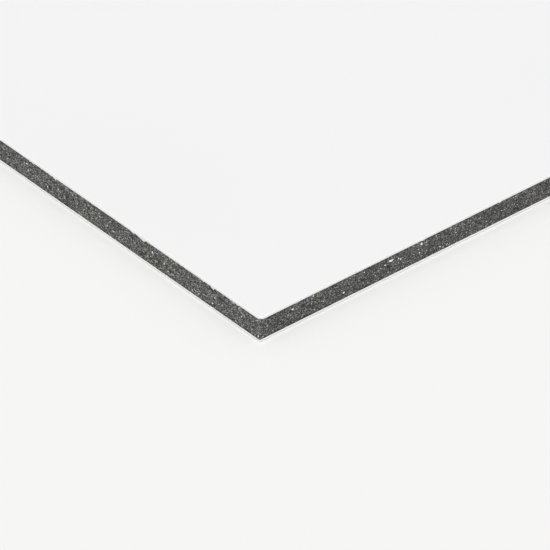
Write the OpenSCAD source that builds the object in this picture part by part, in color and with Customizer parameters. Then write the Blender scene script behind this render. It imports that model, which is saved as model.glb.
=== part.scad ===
// Aluminium composite panel: a saw-cut blank, lying flat with its finished face up.
// Two coil-coated aluminium skins are bonded to a solid polyethylene core. The blank is
// sawn through all three layers at once, so their cut edges are flush all the way round,
// apart from the corners, where only the front skin has had its sharp points taken off.
//
// Frame: the origin is at the centre of the back face, +X runs along the length,
// +Y along the width, and +Z points out of the finished face. Units are millimetres.

/* [Blank] */
// Length of the blank, along X
panel_length = 300; // [100:10:3050]
// Width of the blank, along Y
panel_width = 200; // [100:10:2000]
// Radius on the upright corners of the front skin, whose sharp points are taken off
eased_corner_radius = 0.5; // [0.2:0.1:5]
// Radius on the upright corners of the core and the back skin, which stay as the saw left them
sawn_corner_radius = 0.15; // [0.05:0.05:2]

/* [Layers] */
// Thickness of the aluminium skin on the finished side
front_skin_thickness = 0.3; // [0.2:0.05:0.5]
// Thickness of the polyethylene core
core_thickness = 2.4; // [1:0.1:6]
// Thickness of the aluminium skin on the back
back_skin_thickness = 0.3; // [0.2:0.05:0.5]

/* [Hidden] */

// Heights of the layers, stacked face to face from the back face up
core_base = back_skin_thickness;
front_skin_base = core_base + core_thickness;

// Colours of the white stove coating and of the sawn core
coating_colour = [0.95, 0.95, 0.95];
core_colour = [0.37, 0.37, 0.36];

// Fine enough that a corner's arc is seen as round
corner_facets = 48;

// Outline of a layer: a rectangle whose four corners are arcs.
// Two crossed bars leave out the corners, and a disc fills each one.
module layer_outline(corner_radius) {
    square([panel_length - 2 * corner_radius, panel_width], center = true);
    square([panel_length, panel_width - 2 * corner_radius], center = true);
    for (side_x = [-1, 1], side_y = [-1, 1])
        translate([side_x * (panel_length / 2 - corner_radius),
                   side_y * (panel_width / 2 - corner_radius)])
            circle(r = corner_radius, $fn = corner_facets);
}

// One layer of the laminate, from its base height up
module layer(base, thickness, corner_radius) {
    translate([0, 0, base])
        linear_extrude(height = thickness)
            layer_outline(corner_radius);
}

// Aluminium sheet under the panel, coated on its outer side
module back_skin() {
    color(coating_colour)
        layer(0, back_skin_thickness, sawn_corner_radius);
}

// Solid polyethylene between the skins
module core() {
    color(core_colour)
        layer(core_base, core_thickness, sawn_corner_radius);
}

// Aluminium sheet on top, with the white finished face
module front_skin() {
    color(coating_colour)
        layer(front_skin_base, front_skin_thickness, eased_corner_radius);
}

back_skin();
core();
front_skin();
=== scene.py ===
# %% [markdown]
# # A blank of aluminium composite panel
#
# Aluminium composite panel is a sandwich: two thin aluminium sheets with a white stove
# coating, bonded to a dark polyethylene core. This blank was sawn out of a large sheet, so all
# four of its edges show the three layers in section.
#
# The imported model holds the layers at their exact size, and it is loaded here as a fixed
# frame. What it leaves out is the finish: the grain and tears of sawn plastic, the bright cut
# line of each skin with its burr, the swarf, and the coating. This script makes those, inside
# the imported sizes.

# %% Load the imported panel
import math
import random

import bmesh
import bpy
from mathutils import Matrix, Vector, noise


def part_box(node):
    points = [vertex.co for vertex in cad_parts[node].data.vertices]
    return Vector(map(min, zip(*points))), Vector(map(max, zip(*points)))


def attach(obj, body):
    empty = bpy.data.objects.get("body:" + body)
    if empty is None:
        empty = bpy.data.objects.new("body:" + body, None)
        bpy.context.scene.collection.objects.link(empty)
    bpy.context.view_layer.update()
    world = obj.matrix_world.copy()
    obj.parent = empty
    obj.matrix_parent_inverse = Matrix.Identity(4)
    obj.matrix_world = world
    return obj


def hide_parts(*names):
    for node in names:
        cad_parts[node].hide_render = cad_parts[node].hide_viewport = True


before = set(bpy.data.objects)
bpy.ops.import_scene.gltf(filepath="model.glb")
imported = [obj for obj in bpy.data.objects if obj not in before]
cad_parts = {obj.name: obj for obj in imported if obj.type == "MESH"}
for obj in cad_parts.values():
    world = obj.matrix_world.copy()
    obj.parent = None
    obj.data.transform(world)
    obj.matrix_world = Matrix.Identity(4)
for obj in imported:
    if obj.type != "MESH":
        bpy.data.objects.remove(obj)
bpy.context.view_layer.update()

# %% [markdown]
# ## Sizes
#
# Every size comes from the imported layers, so the finish follows them if they change. The
# shapes are modelled in millimetres, because a burr of a few hundredths of a millimetre is
# then a comfortable number for the mesh tools, and each finished piece is scaled to metres.

# %% Measure the layers
MM_PER_METRE = 1000.0
TOUCHING = 0.001  # millimetres within which two places count as the same

layers = {name: [corner * MM_PER_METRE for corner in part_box(name)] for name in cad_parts}
panel_low = layers["back_skin"][0]
panel_high = layers["front_skin"][1]


def corner_radius_of(layer_name):
    """The radius of a layer's upright corners, which is what its straight edge leaves out."""
    places = (vertex.co * MM_PER_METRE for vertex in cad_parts[layer_name].data.vertices)
    on_edge = [place.x for place in places if abs(place.y - panel_low.y) < TOUCHING]
    return min(on_edge) - panel_low.x


corner_radii = {name: corner_radius_of(name) for name in layers}
for layer_name, (low, high) in layers.items():
    print(f"{layer_name} is {high.z - low.z:.2f} mm thick, corners {corner_radii[layer_name]:.2f} mm")

# %% [markdown]
# ## Where a point lies on the edge
#
# A saw works from the edge inwards, so each mark needs two facts about a point: which way is
# straight out of the nearest sawn edge, and how far inside that edge the point is. Clamping the
# point to the rectangle between the corner arcs answers both, for the straights and the arcs
# alike.
#
# The four edges have names, and a point's distance along its edge is counted from the panel's
# low corner, the one where x and y are least. That is the corner in the photograph.

# %% Find the way out of the nearest sawn edge
EDGES = {
    "near": Vector((0, -1, 0)),
    "right": Vector((1, 0, 0)),
    "far": Vector((0, 1, 0)),
    "left": Vector((-1, 0, 0)),
}
UP = Vector((0, 0, 1))
STRAIGHT = 0.999  # the cosine past which two directions count as the same


def way_out(place, radius):
    """The direction straight out of the nearest sawn edge, and how far inside that edge a place
    is. Inside the rectangle between the arcs there is no direction, and the distance is the
    radius."""
    nearest = Vector((
        min(max(place.x, panel_low.x + radius), panel_high.x - radius),
        min(max(place.y, panel_low.y + radius), panel_high.y - radius),
        place.z,
    ))
    out = place - nearest
    return out.normalized(), radius - out.length


def edge_at(place, out):
    """The name of the edge that a place lies on, or None on a corner arc, and how far along."""
    for name, direction in EDGES.items():
        if direction.dot(out) > STRAIGHT:
            along = place - panel_low
            return name, along.x if direction.x == 0 else along.y
    return None, 0.0


def place_on(name, along, height):
    """The point on a named edge, some way along it and some way above the floor."""
    out = EDGES[name]
    if out.x == 0:
        across = panel_low.y if out.y < 0 else panel_high.y
        return Vector((panel_low.x + along, across, panel_low.z + height))
    across = panel_low.x if out.x < 0 else panel_high.x
    return Vector((across, panel_low.y + along, panel_low.z + height))


def length_of(name):
    """The length of a named edge."""
    size = panel_high - panel_low
    return size.x if EDGES[name].x == 0 else size.y


print("the sawn edges add up to", round(sum(length_of(name) for name in EDGES)), "mm")

# %% [markdown]
# ## The blank that each layer is cut to
#
# All three layers were sawn together, so one function makes the same plate at any height. It
# starts from a cube, and a bevel turns the four upright edges into the corner arcs.
#
# The sides then need enough vertices to carry relief, while the large faces need few. Cutting
# the plate into cells first keeps its faces well shaped. Only the short stretches of rim are
# divided finely after that, so the fine vertices stay where the saw went.

# %% Make a plate with round corners
FACET = 0.09  # millimetres, about the length of one facet of a corner arc
FEWEST_FACETS = 2


def is_upright(edge):
    """Whether an edge runs straight up."""
    first, second = (vertex.co for vertex in edge.verts)
    return (first.xy - second.xy).length < TOUCHING < abs(first.z - second.z)


def plate(low, high, radius):
    """A closed plate between two corners, with its upright corners rounded."""
    shape = bmesh.new()
    bmesh.ops.create_cube(shape, size=1.0)
    bmesh.ops.scale(shape, vec=high - low, verts=shape.verts)
    bmesh.ops.translate(shape, vec=(low + high) / 2, verts=shape.verts)
    bmesh.ops.bevel(
        shape,
        geom=[edge for edge in shape.edges if is_upright(edge)],
        offset=radius,
        segments=max(FEWEST_FACETS, round(radius * math.tau / 4 / FACET)),
        profile=0.5,
        affect="EDGES",
        material=-1,
    )
    return shape


# %% Divide a plate finely along its sides
CELL = 5.0  # millimetres between the cuts across the large faces
RIM = 0.1  # millimetres inside the edge that still count as its rim


def is_rim(edge, radius):
    """Whether an edge runs level along the rim and is long enough to be divided."""
    first, second = (vertex.co for vertex in edge.verts)
    level = abs(first.z - second.z) < TOUCHING
    near_rim = all(way_out(place, radius)[1] < RIM for place in (first, second))
    return level and near_rim and edge.calc_length() > CELL / 2


def divide(shape, radius, rows, step):
    """Cuts a plate into cells, its sides into rows, and its rim into steps."""
    upright = [edge for edge in shape.edges if is_upright(edge)]
    bmesh.ops.subdivide_edges(shape, edges=upright, cuts=rows - 1, use_grid_fill=True)
    for axis, normal in enumerate((Vector((1, 0, 0)), Vector((0, 1, 0)))):
        cells = round((panel_high[axis] - panel_low[axis]) / CELL)
        for number in range(1, cells):
            bmesh.ops.bisect_plane(
                shape,
                geom=[*shape.verts, *shape.edges, *shape.faces],
                dist=TOUCHING,
                plane_co=normal * (panel_low[axis] + number * CELL),
                plane_no=normal,
            )
    rim = [edge for edge in shape.edges if is_rim(edge, radius)]
    bmesh.ops.subdivide_edges(shape, edges=rim, cuts=round(CELL / step) - 1)
    shape.normal_update()


# %% [markdown]
# ## A map for a baked copy
#
# The patterns here are solid, so they need no map to render. A baked copy of the panel does,
# because it stores each finish in a square image. Unwrapped at one scale, the two large faces
# of the core would take nearly all of the image, and nobody sees them. This map gives the sawn
# sides a share of their own. They lie in rows, like lines of text, and the two large faces lie
# side by side above them, at a smaller scale.

# %% Lay a plate out on its map
BAKE_MAP = "OFBake"  # the name of a piece's own map for baking
MAP_GAP = 0.2  # millimetres between two rows
LARGE_FILL = 0.99  # how much of its half a large face fills, each way
LEVEL_FACE = 0.9  # a face whose unit normal goes up or down by more than this counts as large


def lay_out(shape, low, high, sides_share):
    """Gives a plate a map, about sides_share of it for the sides, and returns a text on it."""
    middle, size = (low + high) / 2, high - low
    perimeter = sum(length_of(name) for name in EDGES)
    wanted_length = math.sqrt(perimeter * (size.z + MAP_GAP) / sides_share)
    row_length = CELL * round(wanted_length / CELL)
    map_width = row_length + MAP_GAP
    row_height = (size.z + MAP_GAP) / map_width
    first_row, rows = {}, 0
    for name in EDGES:
        first_row[name] = rows
        rows += math.ceil(length_of(name) / row_length)
    sides_top = rows * row_height
    layer = shape.loops.layers.uv.new(BAKE_MAP)
    for face in shape.faces:
        if abs(face.normal.z) > LEVEL_FACE:
            facing = math.copysign(1, face.normal.z)
            for loop in face.loops:
                place = loop.vert.co - middle
                across = 0.5 + facing * place.x / size.x * LARGE_FILL
                upwards = 0.5 + place.y / size.y * LARGE_FILL
                half = (1 - facing) / 2
                loop[layer].uv = ((half + across) / 2, sides_top + upwards * (1 - sides_top))
            continue
        name = max(EDGES, key=lambda edge_name: EDGES[edge_name].dot(face.normal))
        rightwards = UP.cross(EDGES[name])
        start = middle - rightwards * length_of(name) / 2
        row = int(rightwards.dot(face.calc_center_median() - start) // row_length)
        for loop in face.loops:
            along = rightwards.dot(loop.vert.co - start) - row * row_length
            height = loop.vert.co.z - low.z
            loop[layer].uv = (
                (along + MAP_GAP / 2) / map_width,
                (first_row[name] + row) * row_height + (height + MAP_GAP / 2) / map_width,
            )
    return f"{rows} rows of {row_length:.0f} mm, in {sides_top:.2f} of the map"


# %% [markdown]
# ## From a shape to a piece of the panel
#
# A finished shape becomes a Blender object in metres, at the origin, with its place in its
# mesh. It takes over from the imported layer and rides on the panel's only body. The sawn sides
# are shaded smooth, so that the relief reads as a surface, and the large faces are shaded flat.

# %% Turn a finished shape into a piece
BODY = "root"


def piece_from(shape, name, finishes, replaced=None):
    """Makes a shape into a named object with its finishes, on the panel's body."""
    shape.normal_update()
    for face in shape.faces:
        face.smooth = abs(face.normal.z) < LEVEL_FACE
    bmesh.ops.scale(shape, vec=Vector((1, 1, 1)) / MM_PER_METRE, verts=shape.verts)
    mesh = bpy.data.meshes.new(name)
    shape.to_mesh(mesh)
    shape.free()
    for finish in finishes:
        mesh.materials.append(finish)
    made = bpy.data.objects.new(name, mesh)
    bpy.context.scene.collection.objects.link(made)
    if replaced:
        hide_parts(replaced)
    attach(made, BODY)
    triangles = sum(len(face.vertices) - 2 for face in mesh.polygons)
    print(name, "has", triangles, "triangles")


# %% [markdown]
# ## Tools for the finishes
#
# Each finish is named for what the real surface is and how it was made. Colours are written as
# sRGB hex values and turned to linear by one function. The size of each pattern is a real size
# in millimetres, turned to a texture scale by another, since object coordinates are in metres.
# Bump depths are in metres too, as the Bump node takes them.

# %% Colours, scales and nodes
NOISE_LOW, NOISE_HIGH = 0.3, 0.7  # nearly all values of a noise texture lie between these


def linear(hex_colour):
    """An sRGB hex colour as the linear RGBA that shaders take."""
    parts = (int(hex_colour[start : start + 2], 16) / 255 for start in (1, 3, 5))
    return (*(c / 12.92 if c <= 0.04045 else ((c + 0.055) / 1.055) ** 2.4 for c in parts), 1.0)


def scale_for(millimetres):
    """The texture scale at which a pattern's features are about that many millimetres apart."""
    return MM_PER_METRE / millimetres


def add(tree, kind, inputs=None, **settings):
    """Adds a node with its settings. An input is either a value or the output it is linked to."""
    made = tree.nodes.new("ShaderNode" + kind)
    for name, value in settings.items():
        setattr(made, name, value)
    for name, value in (inputs or {}).items():
        if isinstance(value, bpy.types.NodeSocket):
            tree.links.new(value, made.inputs[name])
        else:
            made.inputs[name].default_value = value
    return made


def shade_through(ramp_node, stops):
    """Sets the colours of a ramp from pairs of a position and a hex colour."""
    elements = ramp_node.color_ramp.elements
    while len(elements) < len(stops):
        elements.new(0.5)  # anywhere between the first and the last, as all are placed below
    for element, (position, colour) in zip(elements, stops):
        element.position = position
        element.color = linear(colour)


def empty_material(name):
    """A new material without nodes, and its tree."""
    material = bpy.data.materials.new(name)
    material.use_nodes = True
    material.node_tree.nodes.clear()
    return material, material.node_tree


# %% [markdown]
# ## White polyester stove coating
#
# The coating is rolled on as a liquid and baked, so it is almost flat, with the faint long
# waves called orange peel, and it has a satin gloss. It is a paint: a dielectric with an IOR of
# about 1.5. Its white hardly changes over the sheet, by two or three steps out of 255. The back
# gets the same coating, only duller and a little warmer.

# %% The white coating
PEEL_SIZE = 1.8  # millimetres from one wave of the orange peel to the next
PEEL_DEPTH = 2e-6  # metres
SHADE_SIZE = 60.0  # millimetres over which the white changes
COATING_IOR = 1.5
GLOSS_CHANGE = 0.02  # how far the roughness goes up and down with the peel
SATIN, MATT = 0.5, 0.6  # the roughness of the front and of the back
FRONT_WHITES = ("#F2F2F2", "#F4F4F4")
BACK_WHITES = ("#EDEDEB", "#F0F0EE")


def stove_coating(name, colours, roughness):
    """White polyester coating, rolled on and baked: an even white with a soft, broad gloss."""
    material, tree = empty_material(name)
    place = add(tree, "TexCoord").outputs["Object"]
    peel = add(tree, "TexNoise", {"Vector": place, "Scale": scale_for(PEEL_SIZE), "Detail": 1.0})
    bump = add(tree, "Bump", {"Height": peel.outputs["Fac"], "Distance": PEEL_DEPTH})
    cloud = add(tree, "TexNoise", {"Vector": place, "Scale": scale_for(SHADE_SIZE), "Detail": 2.0})
    shade = add(tree, "ValToRGB", {"Fac": cloud.outputs["Fac"]})
    shade_through(shade, ((NOISE_LOW, colours[0]), (NOISE_HIGH, colours[1])))
    gloss = add(tree, "MapRange", {
        "Value": peel.outputs["Fac"],
        "To Min": roughness - GLOSS_CHANGE,
        "To Max": roughness + GLOSS_CHANGE,
    })
    surface = add(tree, "BsdfPrincipled", {
        "Base Color": shade.outputs["Color"],
        "Roughness": gloss.outputs["Result"],
        "Normal": bump.outputs["Normal"],
        "IOR": COATING_IOR,
    })
    add(tree, "OutputMaterial", {"Surface": surface.outputs["BSDF"]})
    return material


front_coating = stove_coating("white_polyester_coating_satin", FRONT_WHITES, SATIN)
back_coating = stove_coating("white_polyester_coating_matt", BACK_WHITES, MATT)
print("coatings:", front_coating.name, "and", back_coating.name)

# %% [markdown]
# ## Cut aluminium
#
# The saw leaves the metal bright, with fine upright scratches from its teeth. Their spacing is
# about a twentieth of a millimetre, which is finer than a render shows, so they are drawn at a
# tenth. The scratches are one noise pattern, laid along the edge and stretched upwards. Sawn
# metal scatters what it reflects, so it is rough for a metal and reads as a plain bright line.

# %% The cut aluminium
SCRATCH_SPACING = 0.1  # millimetres
SCRATCH_SQUASH = 0.12  # how much slower the pattern changes upwards than along the edge
SCRATCH_DEPTH = 2e-6  # metres
SAWN_METAL_ROUGHNESS = (0.6, 0.75)
METAL_GREYS = ("#E5E6E7", "#F5F6F6")


def cut_aluminium(name):
    """Aluminium sheet, sawn: a bright metal with a soft gloss and fine upright scratches."""
    material, tree = empty_material(name)
    place = add(tree, "SeparateXYZ", {"Vector": add(tree, "TexCoord").outputs["Object"]})
    along = add(tree, "Math", {0: place.outputs["X"], 1: place.outputs["Y"]}, operation="ADD")
    upwards = add(tree, "Math", {0: place.outputs["Z"], 1: SCRATCH_SQUASH}, operation="MULTIPLY")
    streaked = add(tree, "CombineXYZ", {"X": along.outputs[0], "Y": upwards.outputs[0]})
    scratches = add(tree, "TexNoise", {
        "Vector": streaked.outputs[0],
        "Scale": scale_for(SCRATCH_SPACING),
        "Detail": 2.0,
    })
    shade = add(tree, "ValToRGB", {"Fac": scratches.outputs["Fac"]})
    shade_through(shade, ((NOISE_LOW, METAL_GREYS[0]), (NOISE_HIGH, METAL_GREYS[1])))
    gloss = add(tree, "MapRange", {
        "Value": scratches.outputs["Fac"],
        "To Min": SAWN_METAL_ROUGHNESS[0],
        "To Max": SAWN_METAL_ROUGHNESS[1],
    })
    bump = add(tree, "Bump", {"Height": scratches.outputs["Fac"], "Distance": SCRATCH_DEPTH})
    surface = add(tree, "BsdfPrincipled", {
        "Base Color": shade.outputs["Color"],
        "Metallic": 1.0,
        "Roughness": gloss.outputs["Result"],
        "Normal": bump.outputs["Normal"],
    })
    add(tree, "OutputMaterial", {"Surface": surface.outputs["BSDF"]})
    return material


bare_aluminium = cut_aluminium("sawn_aluminium")
print("bare metal:", bare_aluminium.name)

# %% [markdown]
# ## Sawn polyethylene
#
# The core is polyethylene coloured with carbon black and mineral filler. Moulded, it would be
# an even dark grey. Sawn, it is a crust of torn crumbs, each about a tenth of a millimetre
# across: stretched plastic turns pale, and the gaps between the crumbs stay dark. A Voronoi
# pattern has just this structure. Each of its cells has one random colour, whose brightness
# gives a crumb its grey, and the distance from the middle of the cell gives the crumb its
# rounded shape. The crust has less gloss than moulded polyethylene.
#
# Two slower changes lie over the crumbs. A faint cloud tints them warmer and colder over a few
# millimetres, and a value stored at each vertex makes rubbed places paler and paints shade,
# drawing the pits and the two long sides darker.

# %% The sawn core
CRUMB = 0.11  # millimetres from one crumb to the next along the edge
CRUMB_FLATNESS = 1.6  # how much longer than high a crumb is, since the saw drags it along
CRUMB_DEPTH = 3e-5  # metres
CRUMB_GREYS = (  # the brightness of a cell, from 0 to 1, and the grey of its crumb
    (0.1, "#040404"),
    (0.3, "#303030"),
    (0.6, "#5C5C5B"),
    (0.84, "#A2A29E"),
    (0.94, "#FFFFFA"),
)
CLOUD_SIZE = 3.0  # millimetres
CLOUD_TINTS = ("#E8E8ED", "#FFFEF8")
CRUST_ROUGHNESS = 0.6
CRUST_SPECULAR = 0.3  # where 0.5 is usual, for a surface that isn't torn
POLYETHYLENE_IOR = 1.51
STREAKS_AND_SHADE_ATTRIBUTE = "streaks_and_painted_shade"  # the name of the value stored at each vertex: paler streaks and painted shade


def sawn_polyethylene(name):
    """Dark polyethylene, sawn: a dull crust, speckled with pale and dark crumbs."""
    material, tree = empty_material(name)
    place = add(tree, "TexCoord").outputs["Object"]
    stretch = (1.0, 1.0, CRUMB_FLATNESS)
    flattened = add(tree, "VectorMath", {0: place, 1: stretch}, operation="MULTIPLY").outputs[0]
    crumbs = add(tree, "TexVoronoi", {"Vector": flattened, "Scale": scale_for(CRUMB)})
    shade = add(tree, "ValToRGB", {"Fac": crumbs.outputs["Color"]})
    shade_through(shade, CRUMB_GREYS)
    cloud = add(tree, "TexNoise", {"Vector": place, "Scale": scale_for(CLOUD_SIZE), "Detail": 1.0})
    tint = add(tree, "ValToRGB", {"Fac": cloud.outputs["Fac"]})
    shade_through(tint, ((NOISE_LOW, CLOUD_TINTS[0]), (NOISE_HIGH, CLOUD_TINTS[1])))
    tinted = add(
        tree,
        "VectorMath",
        {0: shade.outputs["Color"], 1: tint.outputs["Color"]},
        operation="MULTIPLY",
    )
    # the value at each vertex pales the streaks and paints shade into the pits and onto the long
    # sides
    streaks_and_painted_shade = add(tree, "Attribute", attribute_name=STREAKS_AND_SHADE_ATTRIBUTE).outputs["Fac"]
    grey = add(tree, "VectorMath", {0: tinted.outputs[0], "Scale": streaks_and_painted_shade}, operation="SCALE")
    bump = add(tree, "Bump", {"Height": crumbs.outputs["Distance"], "Distance": -CRUMB_DEPTH})
    surface = add(tree, "BsdfPrincipled", {
        "Base Color": grey.outputs[0],
        "Roughness": CRUST_ROUGHNESS,
        "Normal": bump.outputs["Normal"],
        "IOR": POLYETHYLENE_IOR,
        "Specular IOR Level": CRUST_SPECULAR,
    })
    add(tree, "OutputMaterial", {"Surface": surface.outputs["BSDF"]})
    return material


sawn_finish = sawn_polyethylene("sawn_black_polyethylene")
print("sawn plastic:", sawn_finish.name)

# %% [markdown]
# ## Extruded polyethylene
#
# Between the skins the core is as it left the extruder: even, dark and smooth, with a faint
# cloudiness where the filler is less well mixed. Its bonding film stays on the skins, so this
# finish also goes on their inner sides, where its dark is also painted shade on the narrow ledge
# beside the core.

# %% The bonded plastic
FILLER_CLOUD = 8.0  # millimetres
BONDED_ROUGHNESS = (0.45, 0.55)
BONDED_GREYS = ("#2C2C2C", "#343433")


def extruded_polyethylene(name):
    """Dark polyethylene, extruded and bonded: an even dark grey with a faint, dull shine."""
    material, tree = empty_material(name)
    place = add(tree, "TexCoord").outputs["Object"]
    cloud = add(tree, "TexNoise", {
        "Vector": place,
        "Scale": scale_for(FILLER_CLOUD),
        "Detail": 3.0,
    })
    shade = add(tree, "ValToRGB", {"Fac": cloud.outputs["Fac"]})
    shade_through(shade, ((NOISE_LOW, BONDED_GREYS[0]), (NOISE_HIGH, BONDED_GREYS[1])))
    gloss = add(tree, "MapRange", {
        "Value": cloud.outputs["Fac"],
        "To Min": BONDED_ROUGHNESS[0],
        "To Max": BONDED_ROUGHNESS[1],
    })
    surface = add(tree, "BsdfPrincipled", {
        "Base Color": shade.outputs["Color"],
        "Roughness": gloss.outputs["Result"],
        "IOR": POLYETHYLENE_IOR,
    })
    add(tree, "OutputMaterial", {"Surface": surface.outputs["BSDF"]})
    return material


bonded_finish = extruded_polyethylene("extruded_black_polyethylene")
print("bonded plastic:", bonded_finish.name)

# %% [markdown]
# ## Where the marks go
#
# The photograph shows a little less than the first 40 mm of two edges. The marks that stand out
# there are placed where they are in the photograph. Elsewhere such marks are scattered
# at random from a fixed seed, so that every run gives the same panel.

# %% Scatter marks along an edge
PHOTOGRAPHED = {"near": 40.0, "left": 40.0}  # millimetres from the low corner
END_MARGIN = 1.0  # millimetres at the end of an edge that get no scattered mark
SEED = 7

dice = random.Random(SEED)


def scattered_places(name, per_mm):
    """Random distances along the part of an edge that the photograph doesn't show."""
    start = PHOTOGRAPHED.get(name, END_MARGIN)
    end = length_of(name) - END_MARGIN
    return [dice.uniform(start, end) for _ in range(round((end - start) * per_mm))]


# %% [markdown]
# ## The polyethylene core
#
# A saw doesn't shear polyethylene cleanly. Its teeth leave shallow upright marks, the heated
# plastic drags into a fine grain, and here and there a crumb tears out and leaves a pit. The
# core also ends up about two hundredths of a millimetre behind the metal, which doesn't give way.
#
# The relief adds up these four, each with its own real size. It only ever goes inwards, so the
# core never leaves the space of the imported layer. In a few places a tooth also rubbed the
# plastic pale, in a narrow upright streak. The photograph shows one farther along the near edge.
# The plastic is also drawn paler in a narrow band on the left edge, just beside the corner.

# %% Lay out the streaks
STREAKS_PER_MM = 0.03
STREAK_REACH = (0.12, 0.25)  # millimetres, half the width of the narrowest and of the widest
# the one on the left edge is a paler band just beside the corner
SEEN_STREAKS = {"near": (27.07, 0.12), "left": (0.25, 0.25)}  # millimetres along, half the width

streaks = {name: [streak] for name, streak in SEEN_STREAKS.items()}
for name in EDGES:
    places = scattered_places(name, STREAKS_PER_MM)
    streaks.setdefault(name, []).extend((along, dice.uniform(*STREAK_REACH)) for along in places)
print("streaks on each edge:", {name: len(found) for name, found in streaks.items()})

# %% Shape the sawn face of the core
SAWN_FACE, BONDED_FACE = 0, 1  # where these come in the core's list of finishes
CORE_SIDES_SHARE = 0.75  # of the core's map
CORE_ROWS = 14  # rows of faces from the bottom of the core to its top
CORE_STEP = 0.17  # millimetres from one vertex to the next along the edge
CORE_RECESS = 0.02  # millimetres that the core springs back behind the skins
LEAST_RECESS = 0.01  # millimetres that its highest grains still stay behind them
GRAIN_SIZE = 0.34  # millimetres, as are all sizes and depths of the relief
GRAIN_DEPTH = 0.024
PIT_SIZE = 0.55
PIT_START = 0.3  # how strong the noise has to be before a pit opens
PIT_DEPTH = 0.2
TOOTH_SPACING = 0.9
TOOTH_DEPTH = 0.006
TOOTH_LEAN = 0.25  # how far a tooth mark leans along the edge for each millimetre of height
LONG_SIDE_PAINTED_SHADE = {"near": 0.86, "far": 0.86}  # painted shade: the long sides are drawn darker, for the weaker light on the near side
PIT_PAINTED_SHADE = 1.5  # painted shade: how much a pit darkens the plastic, times its strength
STREAK_PALENESS = 0.75  # how much paleness the middle of a streak adds
LUMP_KINDS = 3
LUMP_FINENESS = 2.1  # how much finer each kind of lump is than the one before
LUMP_FADING = 0.8  # how fast the finer kinds grow weaker


def rough(place, size):
    """A rough noise from about -1 to 1, with lumps of some size and two finer kinds on them."""
    return noise.fractal(place / size, LUMP_FADING, LUMP_FINENESS, LUMP_KINDS)


def pit_at(place):
    """How strongly a pit opens at a place, from 0 where there is none."""
    return max(0.0, noise.noise(place / PIT_SIZE) - PIT_START)


def core_relief(place):
    """How deep the sawn face of the core lies at a place, in millimetres."""
    grain = rough(place, GRAIN_SIZE) * GRAIN_DEPTH
    turn = (place.x + place.y + place.z * TOOTH_LEAN) / TOOTH_SPACING * math.tau
    tooth = math.sin(turn) * TOOTH_DEPTH
    return max(LEAST_RECESS, CORE_RECESS + grain + tooth + pit_at(place) * PIT_DEPTH)


def streaks_and_painted_shade_at(place, out):
    """How pale the sawn plastic is at a place, where 1 is usual: paler in streaks, and darker with
    painted shade in pits and on the long sides.
    """
    name, along = edge_at(place, out)
    near_streak = max(
        (1 - abs(along - middle) / reach for middle, reach in streaks.get(name, ())), default=0.0
    )
    # painted shade on the long sides, and paler plastic in the streaks
    base = LONG_SIDE_PAINTED_SHADE.get(name, 1.0) + max(0.0, near_streak) * STREAK_PALENESS
    # painted shade: a pit darkens the plastic around it
    return max(0.0, base - pit_at(place) * PIT_PAINTED_SHADE)


core_radius = corner_radii["core"]
core_shape = plate(*layers["core"], core_radius)
divide(core_shape, core_radius, CORE_ROWS, CORE_STEP)
print("the core's sides lie in", lay_out(core_shape, *layers["core"], CORE_SIDES_SHARE))
streaks_and_painted_shade = core_shape.verts.layers.float.new(STREAKS_AND_SHADE_ATTRIBUTE)
for vertex in core_shape.verts:
    out, inside = way_out(vertex.co, core_radius)
    vertex[streaks_and_painted_shade] = 1.0
    if inside < TOUCHING:
        vertex[streaks_and_painted_shade] = streaks_and_painted_shade_at(vertex.co, out)
        vertex.co -= out * core_relief(vertex.co)
for face in core_shape.faces:
    face.material_index = BONDED_FACE if abs(face.normal.z) > LEVEL_FACE else SAWN_FACE
core_finishes = [sawn_finish, bonded_finish]
piece_from(core_shape, "sawn_core", core_finishes, "core")

# %% [markdown]
# ## Where the saw snagged
#
# A blade drags a thin burr of metal over the core, and where a tooth snags it leaves a tab:
# a wedge that grows deeper along the edge and then stops short. The photograph shows tabs under
# the front skin only, and most of them on its left edge.

# %% Lay out the tabs
SEEN_TABS = {  # millimetres along the edge, length and depth
    "near": ((21.6, 0.3, 0.12), (32.1, 0.3, 0.14)),
    "left": (
        (3.3, 0.6, 0.11),
        (4.0, 0.5, 0.08),
        (7.0, 0.6, 0.27),
        (8.5, 0.3, 0.14),
        (17.6, 1.3, 0.26),
        (19.2, 0.5, 0.14),
        (31.3, 0.5, 0.15),
        (32.0, 0.5, 0.08),
        (34.8, 0.4, 0.1),
        (35.3, 0.3, 0.12),
    ),
}
TABS_PER_MM = {"near": 0.07, "right": 0.2, "far": 0.1, "left": 0.16}
TAB_LENGTHS = (0.3, 1.1)  # millimetres, the shortest and the longest
USUAL_TAB = 0.06  # millimetres deep, on average
DEEPEST_TAB = 0.17

tabs = {}
for name in EDGES:
    tabs[name] = list(SEEN_TABS.get(name, ()))
    for along in scattered_places(name, TABS_PER_MM[name]):
        length, depth = dice.uniform(*TAB_LENGTHS), dice.expovariate(1 / USUAL_TAB)
        tabs[name].append((along, length, min(DEEPEST_TAB, depth)))
print("tabs of burr on each edge:", {name: len(found) for name, found in tabs.items()})

# %% [markdown]
# ## The aluminium skins
#
# Each skin is 0.3 mm of aluminium, coated on its outer side only. The cut leaves it a bright
# line of bare metal with two features. Its outer arris rolls over a little, and the coating
# goes round with it. On its inner side hangs the burr, uneven along the edge, and that is what
# makes the line between metal and plastic ragged. A film of the bonded plastic clings to the
# inner side. Its dark is also painted shade on the narrow ledge beside the sprung-back core,
# which is drawn as dark as the core.
#
# The burr is made from a narrow ring, inset into the inner face: the ring's outer vertices
# move over the core by a changing amount, and its inner vertices stay. The result is a closed
# sliver with a sharp lip, as on the real edge.

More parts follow.
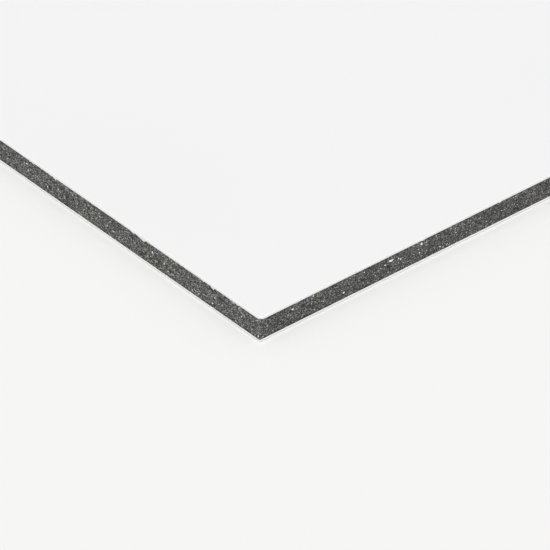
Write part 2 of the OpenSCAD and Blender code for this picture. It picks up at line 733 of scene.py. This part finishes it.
# %% Shape a skin
CUT_SIDE, INNER_SIDE = 1, 2  # where these come in a skin's list of finishes, after its coating
SKIN_SIDES_SHARE = 0.25  # of a skin's map
SKIN_ROWS = 3
SKIN_STEP = 0.09  # millimetres from one vertex to the next along the edge
ARRIS_RADIUS = 0.08  # millimetres
ARRIS_FACETS = 2
BURR_ROOT = 0.04  # millimetres that the burr is thick where it leaves the skin
BURR_SIZE = 0.3  # millimetres along the edge over which the burr changes
BURR_SPREAD = 0.008  # millimetres that it reaches where the noise is strong
TAB_HEEL = 0.2  # how long the short side of a tab is, as a share of its length


def burr(place, out, with_tabs):
    """How far the burr reaches over the core at a place, in millimetres."""
    name, along = edge_at(place, out)
    if name is None:
        return 0.0
    hang = max(0.0, rough(place, BURR_SIZE)) * BURR_SPREAD
    for tip, length, depth in tabs[name] if with_tabs else ():
        reach = length if along > tip else length * TAB_HEEL
        hang = max(hang, depth * (1 - abs(along - tip) / reach))
    return hang


def skin(layer_name, outer_side, with_tabs):
    """A skin with a rolled outer arris and a burr on its inner side, from an imported layer.
    outer_side is 1 for the skin on top and -1 for the one underneath."""
    low, high = layers[layer_name]
    radius = corner_radii[layer_name]
    outer, inner = (high.z, low.z) if outer_side > 0 else (low.z, high.z)
    shape = plate(low, high, radius)
    outer_rim = [
        edge for edge in shape.edges if all(abs(v.co.z - outer) < TOUCHING for v in edge.verts)
    ]
    bmesh.ops.bevel(
        shape,
        geom=outer_rim,
        offset=ARRIS_RADIUS,
        segments=ARRIS_FACETS,
        profile=0.5,
        affect="EDGES",
        material=-1,
    )
    shape.normal_update()
    inner_face = [face for face in shape.faces if face.normal.z * outer_side < -LEVEL_FACE]
    bmesh.ops.inset_region(shape, faces=inner_face, thickness=BURR_ROOT, use_even_offset=True)
    divide(shape, radius, SKIN_ROWS, SKIN_STEP)
    print(f"the sides of {layer_name} lie in", lay_out(shape, low, high, SKIN_SIDES_SHARE))
    for face in shape.faces:
        below_outer = (outer - face.calc_center_median().z) * outer_side
        # the inner side takes the bonded finish: a real film, whose dark is also painted shade on the
        # ledge
        if face.normal.z * outer_side < -LEVEL_FACE:
            face.material_index = INNER_SIDE
        elif below_outer > ARRIS_RADIUS - TOUCHING:
            face.material_index = CUT_SIDE
    for vertex in shape.verts:
        out, inside = way_out(vertex.co, radius)
        if abs(vertex.co.z - inner) < TOUCHING and inside < TOUCHING:
            vertex.co.z -= outer_side * burr(vertex.co, out, with_tabs)
    return shape


# %% Make both skins
front_shape = skin("front_skin", 1, True)
front_finishes = [front_coating, bare_aluminium, bonded_finish]
piece_from(front_shape, "front_sheet", front_finishes, "front_skin")
back_shape = skin("back_skin", -1, False)
back_finishes = [back_coating, bare_aluminium, bonded_finish]
piece_from(back_shape, "back_sheet", back_finishes, "back_skin")

# %% [markdown]
# ## Swarf
#
# The teeth press chips of aluminium into the warm plastic, and they stay there as bright
# flecks. Each one here is an icosphere of twenty faces, flattened against the core and dented at
# random, so that it reads as a torn chip. All of them are joined in one mesh.
#
# The ones that stand out are where the photograph shows them. Each has a distance along its
# edge, a height, a length and a breadth. The scattered ones are also turned and tilted at random.

# %% Lay out the chips that the photograph shows
SEEN_CHIPS = {  # along, up from the floor, length and breadth, all in millimetres
    "near": (
        (4.3, 2.1, 0.36, 0.22),
        (6.8, 2.2, 0.16, 0.12),
        (7.0, 2.5, 0.26, 0.17),
        (11.1, 1.0, 0.32, 0.13),
        (13.8, 2.3, 0.17, 0.12),
        (16.6, 1.9, 0.26, 0.16),
        (17.4, 2.1, 0.7, 0.28),
        (18.4, 1.9, 0.22, 0.19),
        (18.7, 1.7, 0.26, 0.22),
        (21.3, 1.3, 0.18, 0.14),
        (21.5, 2.3, 0.3, 0.29),
        (23.5, 2.4, 0.16, 0.12),
        (24.1, 0.8, 0.22, 0.14),
        (26.2, 1.6, 0.2, 0.12),
        (32.5, 1.5, 0.16, 0.12),
        (34.4, 2.4, 0.16, 0.12),
    ),
    "left": (
        (0.25, 0.65, 0.06, 0.22),
        (2.4, 1.9, 0.1, 0.08),
        (2.8, 1.6, 0.14, 0.16),
        (3.2, 2.4, 0.16, 0.12),
        (3.6, 0.6, 0.13, 0.12),
        (6.8, 1.6, 0.17, 0.12),
        (7.1, 0.8, 0.24, 0.16),
        (9.2, 0.8, 0.14, 0.18),
        (10.2, 0.7, 0.17, 0.17),
        (13.1, 0.9, 0.14, 0.12),
        (13.9, 0.9, 0.26, 0.17),
        (14.5, 1.5, 0.2, 0.17),
        (16.3, 1.9, 0.23, 0.18),
        (19.8, 1.8, 0.12, 0.15),
        (22.3, 1.15, 0.45, 0.13),
        (24.4, 1.8, 0.16, 0.14),
        (26.2, 2.2, 0.14, 0.11),
        (30.9, 1.6, 0.13, 0.2),
        (31.3, 2.5, 0.16, 0.12),
        (32.6, 1.0, 0.13, 0.18),
        (35.6, 1.5, 0.08, 0.09),
        (35.9, 2.1, 0.22, 0.2),
    ),
}
print("chips placed by hand:", {name: len(chips) for name, chips in SEEN_CHIPS.items()})

# %% Press chips into the core
CHIPS_PER_MM = 0.3
CHIP_LENGTHS = (0.12, 0.2)  # millimetres, before the extra length
USUAL_EXTRA, MOST_EXTRA = 0.06, 0.3  # millimetres of extra length, on average and at most
CHIP_BREADTHS = (0.5, 0.8)  # as a share of the length
CHIP_THICKNESS = 0.05  # millimetres
CHIP_DEPTH = 0.018  # millimetres from the sawn edge in to the middle of a chip
CHIP_DENT = 0.25  # how far a corner of a chip may move, as a share of the chip
CHIP_TURN = 0.6  # radians that a scattered chip may turn either way
CHIP_LIFT = 0.02  # millimetres that its ends may rise or sink
CHIP_MARGIN = 0.15  # millimetres between a scattered chip and the skins
CLEARANCE = 0.002  # millimetres that a chip stays behind the sawn edge


def press_chip(shape, name, along, height, length, breadth, turn=0.0, lift=0.0):
    """Adds one dented chip to the shape, lying in the sawn face of the core."""
    out = EDGES[name]
    face_place = place_on(name, along, height)
    flat_axes = Matrix((UP.cross(out), UP, out)).transposed().to_4x4()
    chip = bmesh.ops.create_icosphere(
        shape,
        subdivisions=1,
        radius=0.5,  # one across, which the matrix stretches to the chip's own size
        matrix=Matrix.Translation(face_place - out * CHIP_DEPTH)
        @ flat_axes
        @ Matrix.Rotation(turn, 4, "Z")
        @ Matrix.Rotation(2 * lift / length, 4, "Y")
        @ Matrix.Diagonal((length, breadth, CHIP_THICKNESS, 1.0)),
    )
    for vertex in chip["verts"]:
        dent = Vector([dice.uniform(-CHIP_DENT, CHIP_DENT) for _ in range(3)]) * breadth
        vertex.co += dent - out * dent.dot(out)
        too_far = (vertex.co - face_place).dot(out) + CLEARANCE
        vertex.co -= out * max(0.0, too_far)


core_low, core_high = (corner.z - panel_low.z for corner in layers["core"])
chips_shape = bmesh.new()
for name in EDGES:
    for chip in SEEN_CHIPS.get(name, ()):
        press_chip(chips_shape, name, *chip)
    for along in scattered_places(name, CHIPS_PER_MM):
        height = dice.uniform(core_low + CHIP_MARGIN, core_high - CHIP_MARGIN)
        usual_length = dice.uniform(*CHIP_LENGTHS)
        length = usual_length + min(MOST_EXTRA, dice.expovariate(1 / USUAL_EXTRA))
        breadth = length * dice.uniform(*CHIP_BREADTHS)
        turn, lift = dice.uniform(-CHIP_TURN, CHIP_TURN), dice.uniform(-CHIP_LIFT, CHIP_LIFT)
        press_chip(chips_shape, name, along, height, length, breadth, turn, lift)
piece_from(chips_shape, "swarf_chips", [bare_aluminium])

# %% [markdown]
# ## The studio
#
# The floor is a plain, very pale sheet. A dome and one broad sun from the camera's side light
# the panel from the front, which leaves only a slight shadow where the panel meets the floor.
# Together they add up to a level at which a colour renders about as it is written.

# %% Floor and light
FLOOR_SIZE = 24.0  # metres
FLOOR_GAP = 2e-5  # metres below the panel, so that the two faces don't lie in one plane
FLOOR_COLOUR = "#F6F6F4"
BACKDROP_STRENGTH = 1.0  # at which a colour of the world is seen as it is written
DOME_COLOUR = "#FFFFFF"
DOME_STRENGTH = 0.38
SUN_STRENGTH = 2.17
SUN_SPREAD = 80.0  # degrees across, which makes its shadow very soft
SUN_HEIGHT = 64.0  # degrees above the horizon
SUN_AZIMUTH = -44.0  # degrees, on the side of the camera

floor_shape = bmesh.new()
bmesh.ops.create_grid(floor_shape, x_segments=1, y_segments=1, size=FLOOR_SIZE / 2)
bmesh.ops.translate(floor_shape, vec=Vector((0, 0, -FLOOR_GAP)), verts=floor_shape.verts)
floor_mesh = bpy.data.meshes.new("floor")
floor_shape.to_mesh(floor_mesh)
floor_shape.free()
floor = bpy.data.objects.new("floor", floor_mesh)
bpy.context.scene.collection.objects.link(floor)

floor_paper, tree = empty_material("pale_paper")
surface = add(tree, "BsdfDiffuse", {"Color": linear(FLOOR_COLOUR)})
add(tree, "OutputMaterial", {"Surface": surface.outputs["BSDF"]})
floor_mesh.materials.append(floor_paper)


def seen_from(azimuth, elevation):
    """The direction towards a viewer or a light, where azimuth 0 is on the -Y side."""
    turn, rise = math.radians(azimuth), math.radians(elevation)
    return Vector((
        math.sin(turn) * math.cos(rise),
        -math.cos(turn) * math.cos(rise),
        math.sin(rise),
    ))


world = bpy.data.worlds.new("studio")
world.use_nodes = True
tree = world.node_tree
tree.nodes.clear()
path = add(tree, "LightPath").outputs
seen = add(tree, "Math", {0: path["Is Camera Ray"], 1: path["Is Glossy Ray"]}, operation="MAXIMUM")
seen = add(tree, "Math", {0: seen.outputs[0], 1: path["Is Transmission Ray"]}, operation="MAXIMUM")
backdrop = add(tree, "Background", {
    "Color": linear(FLOOR_COLOUR),
    "Strength": BACKDROP_STRENGTH,
})
dome = add(tree, "Background", {"Color": linear(DOME_COLOUR), "Strength": DOME_STRENGTH})
both = add(tree, "MixShader", {0: seen.outputs[0], 1: dome.outputs[0], 2: backdrop.outputs[0]})
add(tree, "OutputWorld", {"Surface": both.outputs[0]})
bpy.context.scene.world = world

sun_lamp = bpy.data.lights.new("broad_sun", "SUN")
sun_lamp.energy = SUN_STRENGTH
sun_lamp.angle = math.radians(SUN_SPREAD)
sun = bpy.data.objects.new("broad_sun", sun_lamp)
sun.rotation_mode = "QUATERNION"
sun.rotation_quaternion = seen_from(SUN_AZIMUTH, SUN_HEIGHT).to_track_quat("Z", "Y")
bpy.context.scene.collection.objects.link(sun)

sun_share = SUN_STRENGTH * math.sin(math.radians(SUN_HEIGHT)) / math.pi
print(f"a level face is lit to {DOME_STRENGTH + sun_share:.2f} of the level that keeps its colour")

# %% [markdown]
# ## The camera
#
# The photograph was taken with a long lens, close to one corner. The slopes of the two edges
# give the direction, the thickness of the core gives the scale, and the way the edge narrows
# with distance gives the camera's distance. The camera looks along a line that passes beside
# the corner, so that the corner falls where it does in the photograph.

# %% Place the camera
PHOTO_SIDE = 550  # pixels
PHOTO_CORNER = (259.7, 340.23)  # pixel where the core's lower edges meet at the corner
PIXELS_PER_MM = 10.15  # at the corner
CAMERA_DISTANCE = 700.0  # millimetres, measured along the line of sight
CAMERA_AZIMUTH = -42.614  # degrees, as are the next two
CAMERA_ELEVATION = 35.661
CAMERA_ROLL = 2.075
SENSOR_WIDTH = 36.0  # millimetres

back = seen_from(CAMERA_AZIMUTH, CAMERA_ELEVATION)
level_right = UP.cross(back).normalized()
right = Matrix.Rotation(math.radians(CAMERA_ROLL), 3, back) @ level_right
up = back.cross(right)

corner = Vector((panel_low.x, panel_low.y, layers["core"][0].z))
aim = (
    corner
    - right * (PHOTO_CORNER[0] - PHOTO_SIDE / 2) / PIXELS_PER_MM
    + up * (PHOTO_CORNER[1] - PHOTO_SIDE / 2) / PIXELS_PER_MM
)
lens = bpy.data.cameras.new("long_lens")
lens.sensor_width = SENSOR_WIDTH
lens.lens = SENSOR_WIDTH * CAMERA_DISTANCE * PIXELS_PER_MM / PHOTO_SIDE
camera = bpy.data.objects.new("camera", lens)
camera_place = (aim + back * CAMERA_DISTANCE) / MM_PER_METRE
facing = Matrix((right, up, back)).transposed().to_4x4()
camera.matrix_world = Matrix.Translation(camera_place) @ facing
bpy.context.scene.collection.objects.link(camera)
bpy.context.scene.camera = camera
print("the lens is", round(lens.lens), "mm")

# %% [markdown]
# ## Finish
#
# The colours are shown as written, without a film curve.

# %% Hand the scene over
bpy.context.scene.view_settings.view_transform = "Standard"
